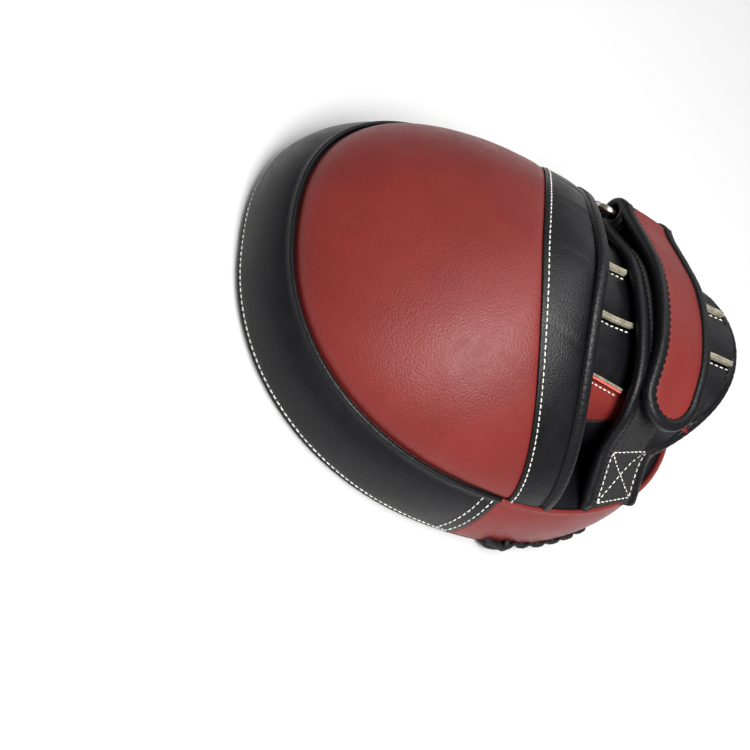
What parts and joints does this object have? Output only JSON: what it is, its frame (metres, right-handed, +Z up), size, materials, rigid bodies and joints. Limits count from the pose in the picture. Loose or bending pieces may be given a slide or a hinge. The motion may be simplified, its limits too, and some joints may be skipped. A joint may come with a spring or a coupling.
{
  "type": "focus mitt",
  "caption": "Padded focus mitt with a domed finger hood, a panelled glove back and a hook-and-loop wrist strap folded round a metal ring.",
  "frame": {"origin": "middle of the striking face, on the surface that the mitt lies on", "axes": "+Z up, out of the back of the hand; +Y towards the fingertips; +X towards the side with the strap ring"},
  "size_m": [0.2002, 0.2623, 0.1154],
  "materials": {
    "red_leather": "red-brown artificial leather, fine grain, satin",
    "black_leather": "black artificial leather, fine grain, satin",
    "foam": "closed-cell foam sheet",
    "soft_foam": "open-cell foam block",
    "lining": "black knitted lining",
    "tape": "hook and loop tape",
    "raw_edge": "cut edge of backed leather",
    "lace": "waxed lace",
    "ring_metal": "nickel-plated wire, slightly aged"
  },
  "bodies": {
    "root": {"strike_face": "black_leather", "strike_patch": "red_leather", "impact_foam": "foam", "board_core": "soft_foam", "back_panel": "black_leather", "side_wall_black": "black_leather", "side_wall_red": "red_leather", "side_lace": "lace", "hood_shell": "red_leather", "hood_band": "black_leather", "hood_foam": "soft_foam", "hood_lining": "lining", "hood_binding": "black_leather", "glove_padding": "soft_foam", "glove_lining": "lining", "glove_cuff_binding": "black_leather", "glove_seam_edges": "raw_edge", "palm_cushion": "black_leather", "finger_bar": "black_leather", "ring_tab": "black_leather", "strap_base": "black_leather", "loop_tape": "tape", "strap_base_border": "black_leather", "glove_side_strap": "red_leather", "glove_back_strap": "black_leather", "glove_back_middle": "black_leather", "glove_back_ring": "black_leather", "glove_side_ring": "red_leather"},
    "ring": {"strap_ring": "ring_metal"},
    "tail": {"strap_tail": "black_leather", "tail_panel": "red_leather", "hook_tape": "tape", "tail_border": "black_leather"}
  },
  "joints": [
    {"name": "tail_peel", "type": "hinge", "parent": "root", "child": "tail", "pos_m": [0.07, -0.0615, 0.073], "axis": [0, 1, 0], "range_deg": [0, 150]},
    {"name": "ring_swing", "type": "hinge", "parent": "root", "child": "ring", "pos_m": [0.079, -0.0615, 0.0585], "axis": [0, 1, 0], "range_deg": [-5, 5]}
  ]
}
